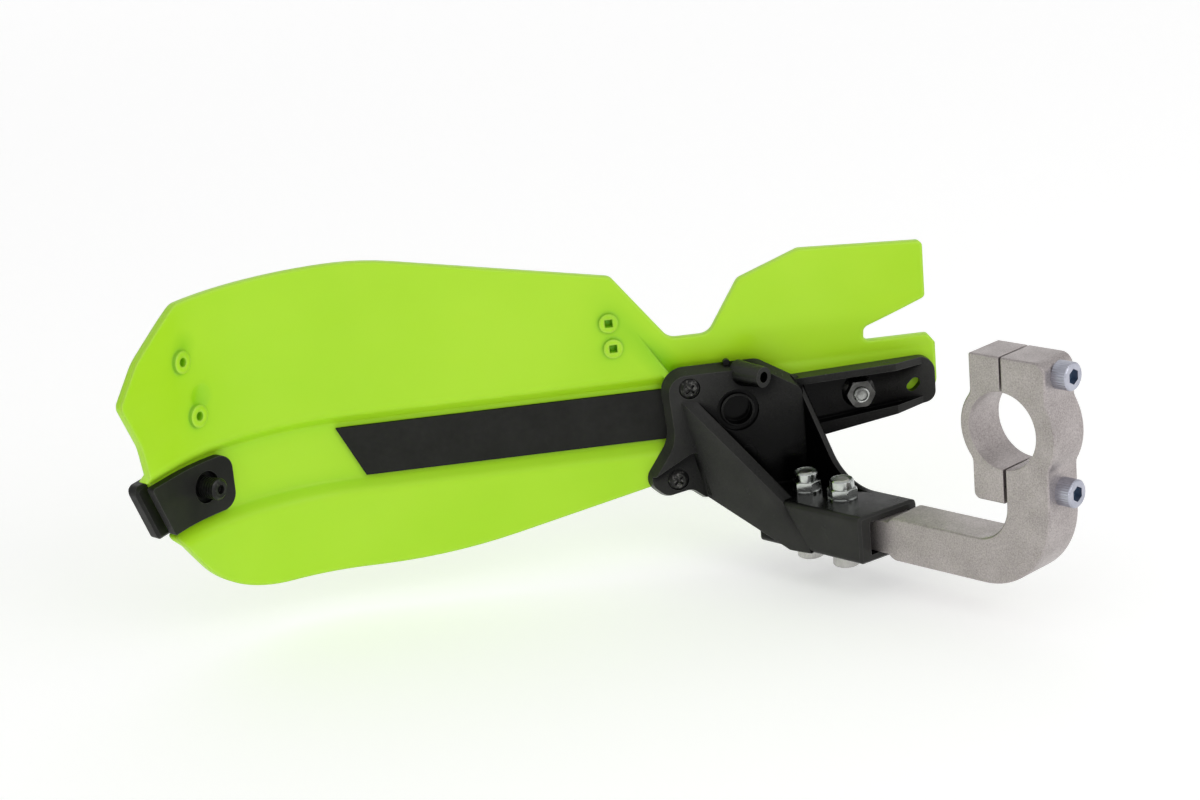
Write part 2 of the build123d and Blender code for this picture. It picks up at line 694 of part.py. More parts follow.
def clamp_arm():
    """Rear half of the bar clamp with the elbow, the arm and the spigot, in one piece."""
    leg = outline([
        (-SPLIT, HALF_HEIGHT, 0),
        (-REAR_BACK, HALF_HEIGHT, REAR_CORNER),
        (-REAR_BACK, ARM_BOTTOM, ELBOW_OUTER),
        (ARM_REACH, ARM_BOTTOM, 0),
        (ARM_REACH, ARM_TOP, 0),
        (-SPLIT, ARM_TOP, ELBOW_INNER),
    ])
    profile = ear_profile(leg, BORE + REAR_WALL, REAR_BACK, -1)
    arm = extrude(Plane.YZ * profile, amount=CLAMP_WIDTH / 2, both=True)
    arm = fillet(arm.faces().sort_by(Axis.Y)[-1].edges().filter_by(Axis.X), SHOULDER_ROUND)
    arm = broken_edges(arm)
    spigot_x = (SPIGOT_OUTBOARD, SPIGOT_INBOARD)
    half = SPIGOT_HEIGHT / 2
    arm += block(*spigot_x, ARM_REACH - SHOULDER_ROUND, SPIGOT_END, -ARM_DROP - half, -ARM_DROP + half)
    for place in clamp_bolt_seats():
        arm -= pin(place, BOLT_HOLE, -FAR, HEAD_HEIGHT)
    for place in socket_bolt_seats():
        arm -= pin(place, BOLT_HOLE, -FAR, HEAD_HEIGHT)
    return arm


def clamp_bolt_seats():
    """Planes on the rear ears, facing the rider."""
    return [Plane(origin=(0, -REAR_BACK, z), z_dir=(0, -1, 0)) for z in (CLAMP_BOLT_Z, -CLAMP_BOLT_Z)]


def socket_bolt_seats():
    """Planes under the socket, facing down."""
    first = MOUTH + SOCKET_BOLT_FROM_MOUTH
    places = (first, first + SOCKET_BOLT_SPACING)
    return [Plane(origin=(SOCKET_BOLT_X, y, SOCKET_SEAT), z_dir=(0, 0, -1)) for y in places]


def cap_screw(seat, length):
    """Socket head cap screw with its head on the seat plane."""
    head = chamfer(pin(Plane.XY, HEAD_DIA, 0, HEAD_HEIGHT).edges().sort_by(Axis.Z)[-1:], HEAD_CHAMFER)
    hexagon = Plane.XY.offset(HEAD_HEIGHT) * RegularPolygon(HEX_KEY / 2, 6, major_radius=False)
    head -= extrude(hexagon, amount=-HEX_DEPTH)
    shank = chamfer(pin(Plane.XY, THREAD_DIA, -length, 0).edges().sort_by(Axis.Z)[:1], HEAD_CHAMFER)
    return seat * (head + shank)


def clamp_bolts():
    """The two bolts that close the clamp."""
    return [cap_screw(seat, CLAMP_BOLT_LENGTH) for seat in clamp_bolt_seats()]


def socket_bolts():
    """The two bolts that hold the spigot in the socket, heads below."""
    return [cap_screw(seat, SOCKET_BOLT_LENGTH) for seat in socket_bolt_seats()]


def hex_prism(flats, height, bevel):
    """Hexagon with its upper end bevelled round."""
    corner = flats / sqrt(3)
    turned = chamfer(pin(Plane.XY, 2 * corner, 0, height).edges().sort_by(Axis.Z)[-1:], bevel)
    return extrude(RegularPolygon(flats / 2, 6, major_radius=False), amount=height) & turned


def nut_seats():
    """Planes on the socket roof over its bolts, facing up."""
    return [Plane(origin=(seat.origin.X, seat.origin.Y, SOCKET_TOP)) for seat in socket_bolt_seats()]


def socket_nuts():
    """Locking nuts on the socket roof, with a rolled collar round their inserts."""
    collar = pin(Plane.XY, NUT_COLLAR_DIA, 0, NUT_HEIGHT)
    collar = chamfer(collar.edges().sort_by(Axis.Z)[-1:], COLLAR_BEVEL)
    nut = hex_prism(NUT_FLATS, NUT_HEX_HEIGHT, HEAD_CHAMFER) + collar
    nut += pin(Plane.XY, NUT_BASE_DIA, 0, NUT_BASE_HEIGHT)
    nut -= pin(Plane.XY, THREAD_DIA + TAP_CLEARANCE, 0, NUT_HEIGHT)
    nut -= pin(Plane.XY, INSERT_DIA, NUT_HEIGHT - INSERT_LIP - INSERT_HEIGHT, NUT_HEIGHT)
    return [seat * nut for seat in nut_seats()]


def nut_inserts():
    """Nylon rings inside the collars of the locking nuts."""
    ring = pin(Plane.XY, INSERT_DIA, 0, INSERT_HEIGHT)
    ring -= pin(Plane.XY, THREAD_DIA + TAP_CLEARANCE, 0, INSERT_HEIGHT)
    lift = NUT_HEIGHT - INSERT_LIP - INSERT_HEIGHT
    return [seat.offset(lift) * ring for seat in nut_seats()]


def base_screws():
    """Cross recess pan head screws through the bracket plate into the shell's bosses."""
    screws = []
    for (x, z), front, depth in zip(SCREW_PLACES, SCREW_FRONTS, SCREW_DEPTHS):
        seat = rider_side(x, z, front + SCREW_SEAT_DEPTH)
        tip = front + SCREW_SEAT_DEPTH - (depth + SHELL_WALL - PILOT_FLOOR)
        head = pin(Plane.XY, SCREW_HEAD_DIA, 0, SCREW_HEAD_HEIGHT)
        head = chamfer(head.edges().sort_by(Axis.Z)[-1:], SCREW_HEAD_HEIGHT / 2)
        for angle in (45, 135):
            arm = Rot(0, 0, angle) * Box(CROSS_LENGTH, CROSS_WIDTH, 2 * CROSS_DEPTH)
            head -= Pos(0, 0, SCREW_HEAD_HEIGHT) * arm
        screws.append(seat * (head + pin(Plane.XY, SCREW_DIA, tip, 0)))
    return screws


def rail_nut():
    """Flange nut on the rail floor."""
    nut = hex_prism(NUT_FLATS, FLANGE_NUT_HEIGHT, HEAD_CHAMFER)
    nut += Cone(FLANGE_DIA / 2, NUT_FLATS / 2, FLANGE_HEIGHT, align=(Align.CENTER, Align.CENTER, Align.MIN))
    nut -= pin(Plane.XY, THREAD_DIA + TAP_CLEARANCE, 0, FLANGE_NUT_HEIGHT)
    return rider_side(RAIL_BOLT_X, CHANNEL_MID, RAIL_FACE) * nut


def rail_bolt():
    """Pan head bolt from the front of the shell, through the rail and its nut."""
    front = rider_side(RAIL_BOLT_X, CHANNEL_MID, CHANNEL_BACK)
    head = pin(Plane.XY, PAN_DIA, -PAN_HEIGHT, 0)
    head = chamfer(head.edges().sort_by(Axis.Z)[:1], PAN_BEVEL)
    hexagon = Plane.XY.offset(-PAN_HEIGHT) * RegularPolygon(HEX_KEY / 2, 6, major_radius=False)
    head -= extrude(hexagon, amount=PAN_HEIGHT / 2)
    end = SHELL_WALL + RAIL_FLOOR + FLANGE_NUT_HEIGHT + RAIL_BOLT_PROUD
    shank = chamfer(pin(Plane.XY, THREAD_DIA, 0, end).edges().sort_by(Axis.Z)[-1:], HEAD_CHAMFER)
    shank -= pin(Plane.XY, RAIL_CUP_DIA, end - RAIL_CUP_DEPTH, end)
    return front * (head + shank)


def plate_outline():
    """Back outline of the bracket plate with its lower ear, in the guard's x and z."""
    return outline([
        (PLATE_LEFT, PLATE_TOP, PLATE_ROUND),
        (PLATE_PEAK_X, PLATE_TOP, EAR_ROUND),
        (PLATE_RIGHT, PLATE_TOP - PLATE_FALL, EAR_ROUND),
        (PLATE_RIGHT, PLATE_BOTTOM + PLATE_HEEL[1], EAR_ROUND / 2),
        (PLATE_LEFT + PLATE_HEEL[0], PLATE_BOTTOM, EAR_ROUND / 2),
        (EAR_LEFT + EAR_WIDTH[1], EAR_BOTTOM + PLATE_HEEL[1], EAR_ROUND / 2),
        (EAR_LEFT + EAR_WIDTH[0], EAR_BOTTOM, EAR_ROUND),
        (EAR_LEFT, EAR_BOTTOM + EAR_RISE, EAR_ROUND),
        (EAR_LEFT + EAR_NECK[0], EAR_BOTTOM + EAR_NECK[1], EAR_NECK_ROUND),
    ])


def bracket_plate():
    """Plate on the shell, with its key in the channel and its ringed round recess."""
    back = Plane(origin=(0, GUARD_REACH, 0), x_dir=(1, 0, 0), z_dir=(0, -1, 0))
    plate = extrude(back * plate_outline(), amount=PLATE_THICK, taper=PLATE_TAPER)
    step_left = EAR_LEFT - STEP_LEFT_RISE
    step_low = EAR_BOTTOM - STEP_LEFT_RISE
    ear_step = outline([
        (step_left, EAR_BOTTOM + STEP_LEFT_RISE, 0),
        (EAR_LEFT + STEP_TOP[0], EAR_BOTTOM + STEP_TOP[1], EAR_ROUND / 2),
        (EAR_LEFT + STEP_FOOT, step_low, 0),
        (step_left, step_low, 0),
    ])
    plate -= through_guard(ear_step, PLATE_FRONT - PLATE_THICK, PLATE_FRONT + EAR_STEP)
    key = (KEY_LEFT, RAIL_LEFT, GUARD_REACH, CHANNEL_FACE)
    plate += block(*key, CHANNEL_BOTTOM + KEY_CLEARANCE, CHANNEL_TOP - KEY_CLEARANCE)
    front = rider_side(RECESS_X, RECESS_Z, PLATE_FRONT)
    plate -= pin(front, GROOVE_DIA, -GROOVE_DEPTH, PLATE_THICK)
    plate += pin(front, RECESS_RING, -2 * GROOVE_DEPTH, 0)
    plate -= pin(front, RECESS_DIA, -RECESS_DEPTH, PLATE_THICK)
    plate += pin(rider_side(NIB_X, PLATE_TOP, GUARD_REACH), NIB_DIA, 0, NIB_HEIGHT)
    plate += pin(rider_side(EJECTOR_X, EJECTOR_Z, PLATE_FRONT), EJECTOR_DIA, -EJECTOR_HEIGHT, EJECTOR_HEIGHT)
    return plate


def spare_boss():
    """Place of the spare boss on the plate, facing the rider along the mould's draw."""
    base = GUARD * Pos(SPARE_BOSS_X, PLATE_FRONT, SPARE_BOSS_Z)
    return Plane(origin=base.position, z_dir=(0, -1, 0))


def bracket_rail():
    """Channel-shaped rail that runs inboard from the plate along the shell, its lips fading at the end."""
    corners = [
        (RAIL_LEFT, RAIL_TOP - RAIL_DIP, 0),
        (RAIL_RIGHT, RAIL_TOP, RAIL_TOP_ROUND),
        (RAIL_RIGHT, RAIL_END_BOTTOM, RAIL_END_ROUND),
        (RAIL_LEFT, RAIL_ROOT_BOTTOM, 0),
    ]
    pocket_left = RAIL_LEFT - RAIL_LIP
    pocket_right = RAIL_RIGHT + RAIL_LIP
    pocket = [
        (pocket_left, RAIL_TOP - RAIL_DIP - RAIL_LIP, 0),
        (pocket_right, RAIL_TOP - RAIL_LIP, 0),
        (pocket_right, RAIL_END_BOTTOM + RAIL_LIP, 0),
        (pocket_left, RAIL_ROOT_BOTTOM + 2 * RAIL_LIP, 0),
    ]
    top = GUARD_REACH - RAIL_FRONT
    plan = outline([
        (pocket_left, top, 0),
        (RAIL_RIGHT - LIP_FADE[0], top, 0),
        (RAIL_RIGHT - LIP_FADE[1], RAIL_FACE, 0),
        (pocket_right, RAIL_FACE, 0),
        (pocket_right, CHANNEL_FACE, 0),
        (pocket_left, CHANNEL_FACE, 0),
    ])
    rail = through_guard(outline(corners), top, CHANNEL_FACE)
    rail -= through_guard(outline(pocket), top, RAIL_FACE)
    return rail & extrude(plan, amount=TRIM_ROOM, both=True)


def socket_body():
    """Closed-end socket with a slanted mouth for the spigot, and a pad below for its bolt heads."""
    plan = outline([
        (SOCKET_OUTBOARD, MOUTH + MOUTH_SETBACK, 0),
        (SOCKET_INBOARD, MOUTH - MOUTH_LIP, 0),
        (SOCKET_INBOARD, SOCKET_END, 0),
        (SOCKET_OUTBOARD, SOCKET_END, 0),
    ])
    body = extrude(Plane.XY.offset(SOCKET_BOTTOM) * plan, amount=SOCKET_TOP - SOCKET_BOTTOM)
    body = fillet(body.edges().filter_by(Axis.Y), SOCKET_EDGE)
    body = chamfer(body.faces().sort_by(Axis.Y)[0].edges(), MOUTH_BEVEL)
    middle = MOUTH + SOCKET_BOLT_FROM_MOUTH + SOCKET_BOLT_SPACING / 2
    pad = Rot(0, 0, 90) * SlotCenterToCenter(SOCKET_BOLT_SPACING, SOCKET_PAD_WIDTH)
    return body + extrude(Pos(SOCKET_BOLT_X, middle, SOCKET_SEAT) * pad, amount=2 * SOCKET_PAD)


def guard_point(x, z, y):
    """Point given in the guard's frame, as a vector of the whole part."""
    return (GUARD * Pos(x, y, z)).position


def slab_end(top, low, tuck):
    """Thin four-sided end of the outboard web, tucked inboard by a vector."""
    return make_face(Polyline(top, low, low + tuck, top + tuck, close=True))


def outboard_web():
    """Slanting web from the socket's cheek to the outer part of the plate."""
    depth = (PLATE_FRONT + GUARD_REACH) / 2
    drop = WEB_RUNBACK * sqrt(2)
    start = Vector(SOCKET_OUTBOARD, MOUTH + WEB_START, SOCKET_TOP)
    runback = start + Vector(0, -WEB_RUNBACK, -drop)
    tuck = Vector(WEB_TUCK, 0, 0)
    foot_tuck = guard_point(WEB_TUCK, 0, 0) - guard_point(0, 0, 0)
    cheek = slab_end(start, runback, tuck)
    top = guard_point(*WEB_FOOT_TOP, depth)
    low = guard_point(*WEB_FOOT_LOW, depth)
    foot = slab_end(top, low, foot_tuck)
    web = loft([cheek, foot], ruled=True)
    return web - block(-FAR, FAR, -FAR, FAR, SOCKET_BOTTOM - FAR, SOCKET_BOTTOM)


def inboard_web():
    """Upright web over the socket's inboard wall, with a swept rear rim."""
    far = MOUTH + FAR / 4
    low = SOCKET_TOP - SOCKET_ROOF
    profile = outline([
        (MOUTH + SOCKET_EDGE, low, 0),
        (MOUTH + SOCKET_EDGE, SOCKET_TOP, 0),
        (MOUTH + GUSSET_CORNER, SOCKET_TOP, GUSSET_SWEEP),
        (MOUTH + GUSSET_PEAK, GUSSET_TOP, GUSSET_CROWN),
        (far, GUSSET_TOP, 0),
        (far, WEB_LOW, 0),
        (SOCKET_END, SOCKET_BOTTOM + WEB_STEP, 0),
        (SOCKET_END, low, 0),
    ])
    plane = Plane(origin=(SOCKET_INBOARD - WEB_THICK, 0, 0), x_dir=(0, 1, 0), z_dir=(1, 0, 0))
    web = extrude(plane * profile, amount=WEB_THICK)
    outer = web.faces().sort_by(Axis.X)[-1].edges()
    rim = [edge for edge in outer if edge.center().Z > SOCKET_TOP - TOUCH and edge.center().Y < far - TOUCH]
    return fillet(rim, SOCKET_EDGE)


def bracket_floor():
    """Roof of the socket carried on to the plate, between the webs."""
    foot = guard_point(*WEB_FOOT_LOW, GUARD_REACH)
    start_y = MOUTH + WEB_START
    plan = outline([
        (SOCKET_OUTBOARD, start_y, 0),
        (foot.X, foot.Y, 0),
        (SOCKET_INBOARD, foot.Y, 0),
        (SOCKET_INBOARD, start_y, 0),
    ])
    return extrude(Plane.XY.offset(SOCKET_TOP - SOCKET_ROOF) * plan, amount=SOCKET_ROOF)


def mount_bracket():
    """Moulded bracket: plate, rail, webs and socket in one piece."""
    past_panel = block(-FAR, FAR, GUARD_REACH, GUARD_REACH + FAR, -FAR, FAR)
    arms = outboard_web() + inboard_web() + bracket_floor() - GUARD * past_panel
    bracket = socket_body() + arms + GUARD * (bracket_plate() + bracket_rail())
    boss = Cone(SPARE_BOSS_BASE / 2, SPARE_BOSS_END / 2, SPARE_BOSS_HEIGHT + PLATE_THICK)
    bracket += spare_boss().offset((SPARE_BOSS_HEIGHT - PLATE_THICK) / 2) * boss - GUARD * past_panel
    bracket -= pin(spare_boss(), SPARE_HOLE, SPARE_BOSS_HEIGHT - SPARE_HOLE_DEPTH, SPARE_BOSS_HEIGHT)
    low = -ARM_DROP - CAVITY_HEIGHT / 2
    high = -ARM_DROP + CAVITY_HEIGHT / 2
    cavity_end = SOCKET_END - SOCKET_END_WALL
    bracket -= block(CAVITY_OUTBOARD, CAVITY_INBOARD, MOUTH - MOUTH_GAP, cavity_end, low, high)
    for seat in socket_bolt_seats():
        bracket -= pin(seat, BOLT_HOLE, SOCKET_SEAT - SOCKET_TOP, 0)
    for (x, z), front in zip(SCREW_PLACES, SCREW_FRONTS):
        place = rider_side(x, z, front)
        bracket -= GUARD * pin(place, SCREW_HEAD_DIA + HOLE_CLEARANCE, -SCREW_SEAT_DEPTH, PLATE_THICK)
        bracket -= GUARD * pin(place, SCREW_DIA + HOLE_CLEARANCE, -FAR / 10, 0)
    boss_room = SCREW_BOSS_DIA + HOLE_CLEARANCE
    bracket -= GUARD * pin(screw_boss(), boss_room, -SHELL_WALL, SCREW_BOSS_HEIGHT + HOLE_CLEARANCE)
    floor = rider_side(RAIL_BOLT_X, CHANNEL_MID, RAIL_FACE)
    bracket -= GUARD * pin(floor, BOLT_HOLE, -2 * RAIL_FLOOR, 0)
    slot = rider_side(SLOT_X, CHANNEL_MID, RAIL_FACE) * Rot(0, 0, 45) * SlotOverall(SLOT_LENGTH, SLOT_WIDTH)
    bracket -= GUARD * extrude(slot, amount=-2 * RAIL_FLOOR)
    return bracket


def write(name, shape, place=Location()):
    """Save one node, a single solid or a group of separate solids."""
    solids = shape if isinstance(shape, list) else [shape]
    placed = [place * solid for piece in solids for solid in piece.solids()]
    export_step(placed[0] if len(placed) == 1 else Compound(placed), f"parts/{name}.step")


def main():
    os.makedirs("parts", exist_ok=True)
    write("clamp_cap", clamp_cap())
    write("clamp_arm", clamp_arm())
    write("clamp_bolts", clamp_bolts())
    write("socket_bolts", socket_bolts())
    write("socket_nuts", socket_nuts())
    write("nut_inserts", nut_inserts())
    write("mount_bracket", mount_bracket())
    write("guard_shell", guard_shell(), GUARD)
    write("channel_strip", channel_strip(), GUARD)
    write("base_screws", base_screws(), GUARD)
    write("rail_bolt", rail_bolt(), GUARD)
    write("rail_nut", rail_nut(), GUARD)
    write("end_plate", end_plate(), GUARD)
    write("end_bumper", end_bumper(), GUARD)
    write("end_bolt", end_bolt(), GUARD)


main()
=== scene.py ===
import functools
import math

import bmesh
import bpy
from mathutils import Matrix, Vector


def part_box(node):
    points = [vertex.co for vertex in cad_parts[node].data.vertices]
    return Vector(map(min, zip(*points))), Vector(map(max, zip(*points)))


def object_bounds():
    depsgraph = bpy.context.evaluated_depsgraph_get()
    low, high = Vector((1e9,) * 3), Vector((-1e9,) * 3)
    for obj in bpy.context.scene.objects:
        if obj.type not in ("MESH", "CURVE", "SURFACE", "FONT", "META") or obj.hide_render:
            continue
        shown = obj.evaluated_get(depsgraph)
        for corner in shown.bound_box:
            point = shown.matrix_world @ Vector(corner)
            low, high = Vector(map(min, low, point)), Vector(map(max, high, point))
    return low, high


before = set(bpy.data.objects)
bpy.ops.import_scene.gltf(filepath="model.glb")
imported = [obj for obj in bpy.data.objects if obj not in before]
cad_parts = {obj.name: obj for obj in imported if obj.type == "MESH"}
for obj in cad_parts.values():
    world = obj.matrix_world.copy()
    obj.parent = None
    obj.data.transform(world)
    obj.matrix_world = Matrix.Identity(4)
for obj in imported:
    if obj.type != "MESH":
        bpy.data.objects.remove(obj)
cad_low, cad_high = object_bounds()

# Metres, in the CAD's frame: bore centre at the origin, X inboard along the bar, Y forward, Z up
MM = 0.001

# Radius of the eased edges
SHELL_EDGE = 2.2 * MM
NYLON_EDGE = 0.6 * MM
METAL_EDGE = 0.35 * MM
STEEL_EDGE = 0.25 * MM
EDGE_SAMPLES = 6

# Fasteners: heads and turns as the CAD has them, teeth and threads cut in the finish
HEAD_RADIUS = 5.1 * MM
KNURL_TEETH = 34.0
KNURL_RIM = (0.93 * HEAD_RADIUS, 0.97 * HEAD_RADIUS)
STUD_TURN = 8.3
STUD_PITCH = 1.25 * MM
RAIL_BOLT_TURN = -38.0
RAIL_BOLT_PITCH = 1.0 * MM
HALF_PITCH = 0.5

# Painted shade in the sink marks beside the bosses of the bent end
SINK_MARKS = (Vector((-184.7, 229.0, 45.2)) * MM, Vector((-179.6, 229.8, 24.9)) * MM)
SINK_REACH = 6.5 * MM
SINK_OPEN = (0.3, 1.0)

# Painted shade of a valley beside the right bosses, which the shell's shape lacks, from its top to
# its foot
VALLEY_TOP = Vector((-47.4, 152.4, 35.0)) * MM
VALLEY_FOOT = Vector((-30.4, 142.4, 10.5)) * MM
VALLEY_REACH = 6.5 * MM
VALLEY_FALL = (-0.3, 0.8)
VALLEY_SHADE_DEPTH = 0.9

# Camera, solved from the photograph
CAMERA_PLACE = Vector((-0.72128, -0.53624, 0.29593))
CAMERA_RIGHT = Vector((0.69733, -0.71179, -0.08418))
CAMERA_UP = Vector((0.26746, 0.14945, 0.95191))
CAMERA_CLIP = (0.01, 50.0)
LENS = 80.0
SENSOR = 36.0

# Base colours, linear
LIME = (0.40, 0.745, 0.008)
LIME_PALE = (0.455, 0.785, 0.022)
# Painted shade of the lime in its hollows, sink marks and valley
LIME_SHADE = (0.29, 0.65, 0.003)
# Painted highlight along the lime shell's rim
LIME_RIM_HIGHLIGHT = (0.58, 0.95, 0.10)
NYLON_BLACK = (0.030, 0.030, 0.0286)
NYLON_GREY = (0.042, 0.0417, 0.0395)
# Painted shade of the nylon, and of the smoked steel, in their hollows
NYLON_SHADE = (0.0008, 0.0008, 0.0009)
# Paler rubbed wear with a painted highlight on the nylon's edges
NYLON_RUBBED_HIGHLIGHT = (0.12, 0.12, 0.115)
PAD_BLACK = (0.015, 0.015, 0.0142)
PAD_GREY = (0.026, 0.0255, 0.0243)
STRIP_BLACK = (0.008, 0.008, 0.0072)
STRIP_GREY = (0.015, 0.015, 0.0138)
ALUMINIUM = (0.53, 0.483, 0.478)
ALUMINIUM_DARK = (0.30, 0.272, 0.265)
# Painted shade of the aluminium in its hollows
ALUMINIUM_SHADE = (0.16, 0.145, 0.14)
ZINC = (0.50, 0.51, 0.585)
ZINC_DARK = (0.40, 0.41, 0.48)
# Painted shade of the plated screw heads in their hollows and hex sockets
ZINC_SHADE = (0.20, 0.27, 0.36)
PLAIN_ZINC = (0.60, 0.59, 0.57)
PLAIN_ZINC_DARK = (0.48, 0.47, 0.455)
BRIGHT = (0.66, 0.68, 0.66)
BRIGHT_DARK = (0.42, 0.44, 0.43)
# Painted shade of the bright steel in its hollows
BRIGHT_SHADE = (0.22, 0.23, 0.22)
SMOKED = (0.13, 0.13, 0.125)
# Darker smoked tone, also the painted shade in the rail bolt's hollows
SMOKED_DARK_AND_SHADE = (0.07, 0.07, 0.068)
OXIDE = (0.022, 0.022, 0.021)
OXIDE_WORN = (0.20, 0.195, 0.185)
OXIDE_DULL = (0.06, 0.059, 0.056)
INSERT = (0.10, 0.125, 0.095)
INSERT_DARK = (0.06, 0.075, 0.058)
FLOOR_PALE = (0.86, 0.86, 0.86)
WHITE = (1.0, 1.0, 1.0)

# Noise patterns: scale, detail and, where it isn't the usual half, roughness
LIME_CLOUD = (14.0, 3.0)
LIME_STREAK = (1.0, 4.0)
LIME_GRAIN = (2600.0, 2.0)
NYLON_CLOUD = (60.0, 4.0)
NYLON_RUB_HIGHLIGHT = (300.0, 3.0)
NYLON_PATCH = (140.0, 3.0)
NYLON_GRAIN = (2200.0, 3.0)
STRIP_CLOUD = (420.0, 4.0)
STRIP_PATCH = (90.0, 3.0)
STRIP_PEBBLE = (1500.0, 2.0)
ALUMINIUM_CLOUD = (90.0, 4.0, 0.6)
ALUMINIUM_GRAIN = (1700.0, 4.0, 0.7)
PLATING_CLOUD = (260.0, 4.0)
PLATING_DRAWN = (3000.0, 2.0)
OXIDE_WEAR = (700.0, 5.0, 0.6)
OXIDE_GRAIN = (2600.0, 2.0)
INSERT_CLOUD = (300.0, 3.0)
INSERT_PATCH = (500.0, 3.0)

# Stretch of the coordinates under the streaks in the lime plastic
STREAK_STRETCH = (30.0, 30.0, 210.0)

# Levels of a pattern between which it is stretched
NOISE_BAND = (0.3, 0.7)
STREAK_BAND = (0.35, 0.7)
NYLON_BAND = (0.35, 0.75)
RUB_HIGHLIGHT_BAND = (0.05, 0.45)
CLOUD_BAND = (0.25, 0.75)
SPECKLE_BAND = (0.3, 0.66)
WEAR_BAND = (0.5, 0.75)
SHEEN_BAND = (0.4, 0.7)
EDGE_BAND = (0.98, 0.8)

# Shares of a tone, from the face to the painted highlight of the rim or to the rubbed, highlighted
# edge, or from cloud to cloud
RIM_HIGHLIGHT_SHARE = (1.0, 0.1)
RUB_HIGHLIGHT_SHARE = (1.0, 0.3)
CLOUD_SHARE = (-0.2, 0.2)

# Roughness, from one end of a pattern to the other
LIME_GLOSS = (0.34, 0.46)
NYLON_GLOSS = (0.16, 0.28)
PAD_GLOSS = (0.38, 0.5)
STRIP_GLOSS = (0.62, 0.78)
ALUMINIUM_GLOSS = (0.5, 0.38)
ZINC_GLOSS = (0.4, 0.28)
BRIGHT_GLOSS = (0.22, 0.12)
SMOKED_GLOSS = (0.26, 0.16)
RAIL_BOLT_GLOSS = (0.3, 0.18)
OXIDE_GLOSS = (0.42, 0.28)
INSERT_GLOSS = (0.3, 0.45)
FLOOR_ROUGHNESS = 0.9

# Painted shade in hollows: how far it reaches, and the levels from closed to open
LIME_HOLLOWS = (8.0 * MM, 0.55, 0.97)
NYLON_HOLLOWS = (60.0 * MM, 0.84, 1.0)
ALUMINIUM_HOLLOWS = (5.0 * MM, 0.4, 0.9)
PLATING_HOLLOWS = (4.0 * MM, 0.4, 0.85)
HOLLOW_SAMPLES = 8

# Surface relief: strength and depth
LIME_RELIEF = (0.06, 0.05 * MM)
NYLON_RELIEF = (0.06, 0.05 * MM)
STRIP_RELIEF = (0.35, 0.1 * MM)
ALUMINIUM_RELIEF = (0.3, 0.06 * MM)
PLATING_RELIEF = (0.1, 0.03 * MM)
OXIDE_RELIEF = (0.12, 0.03 * MM)
CUT_RELIEF = (1.0, 0.06 * MM)
STUD_RELIEF = (1.0, 0.4 * MM)

# Levels set straight on a shader
LIME_SPECULAR = 0.38
LIME_SCATTER = 0.12
LIME_SCATTER_RADIUS = (0.6, 1.0, 0.1)
LIME_SCATTER_SCALE = 2.5 * MM
NYLON_SPECULAR = 0.1
STRIP_SPECULAR = 0.25
ALUMINIUM_METAL = 0.85
PLATING_METAL = 1.0
OXIDE_METAL = 0.8

# Floor that curves up into a wall, turned to face the camera
FLOOR_DROP = 6.0 * MM
FLOOR_LEFT = -3.0
FLOOR_FRONT = -3.0
FLOOR_BACK = 2.2
FLOOR_WIDTH = 7.0
FLOOR_TURN = -44.0
FLOOR_GLOW = 0.34
CURVE_RADIUS = 0.8
CURVE_ANGLE = 80.0
CURVE_STEPS = 16
WALL_RISE = (0.0, 0.3, 2.5)

# White surround, and the soft lights' names, places, sizes and powers
SURROUND = 0.62
SOFT_BOXES = (
    ("front_light", (-0.3, -1.5, 0.9), 1.0, 6.0),
    ("left_light", (-1.4, -0.5, 1.1), 1.0, 1.5),
    ("right_light", (0.9, -1.1, 0.6), 0.9, 2.0),
)


def new_finish(name):
    """Empty node material: its tree, its shader and its Object coordinates."""
    finish = bpy.data.materials.new(name)
    finish.use_nodes = True
    tree = finish.node_tree
    shader = tree.nodes["Principled BSDF"]
    coords = tree.nodes.new("ShaderNodeTexCoord")
    return finish, tree, shader, coords.outputs["Object"]


def wire(tree, shader, colour, gloss, normal):
    """Joins a colour, a roughness and a normal to a shader."""
    for socket, value in (("Base Color", colour), ("Roughness", gloss), ("Normal", normal)):
        tree.links.new(value, shader.inputs[socket])


def noise(tree, where, scale, detail, rough=0.5):
    """Noise value over the surface."""
    node = tree.nodes.new("ShaderNodeTexNoise")
    node.inputs["Scale"].default_value = scale
    node.inputs["Detail"].default_value = detail
    node.inputs["Roughness"].default_value = rough
    tree.links.new(where, node.inputs["Vector"])
    return node.outputs["Fac"]


def spread(tree, value, low, high, out_low=0.0, out_high=1.0):
    """Value between two levels, stretched to a new range."""
    node = tree.nodes.new("ShaderNodeMapRange")
    node.inputs["From Min"].default_value = low
    node.inputs["From Max"].default_value = high
    node.inputs["To Min"].default_value = out_low
    node.inputs["To Max"].default_value = out_high
    tree.links.new(value, node.inputs["Value"])
    return node.outputs["Result"]


def maths(tree, operation, first, second=0.0):
    """One sum of two values, each a socket or a number."""
    node = tree.nodes.new("ShaderNodeMath")
    node.operation = operation
    for socket, value in zip(node.inputs, (first, second)):
        if isinstance(value, (int, float)):
            socket.default_value = value
        else:
            tree.links.new(value, socket)
    return node.outputs["Value"]


def vector_maths(tree, operation, first, second=(0.0, 0.0, 0.0)):
    """One sum of a vector socket and a fixed vector: the output that the sum has."""
    node = tree.nodes.new("ShaderNodeVectorMath")
    node.operation = operation
    node.inputs[1].default_value = second
    tree.links.new(first, node.inputs[0])
    return next(output for output in node.outputs if output.enabled)


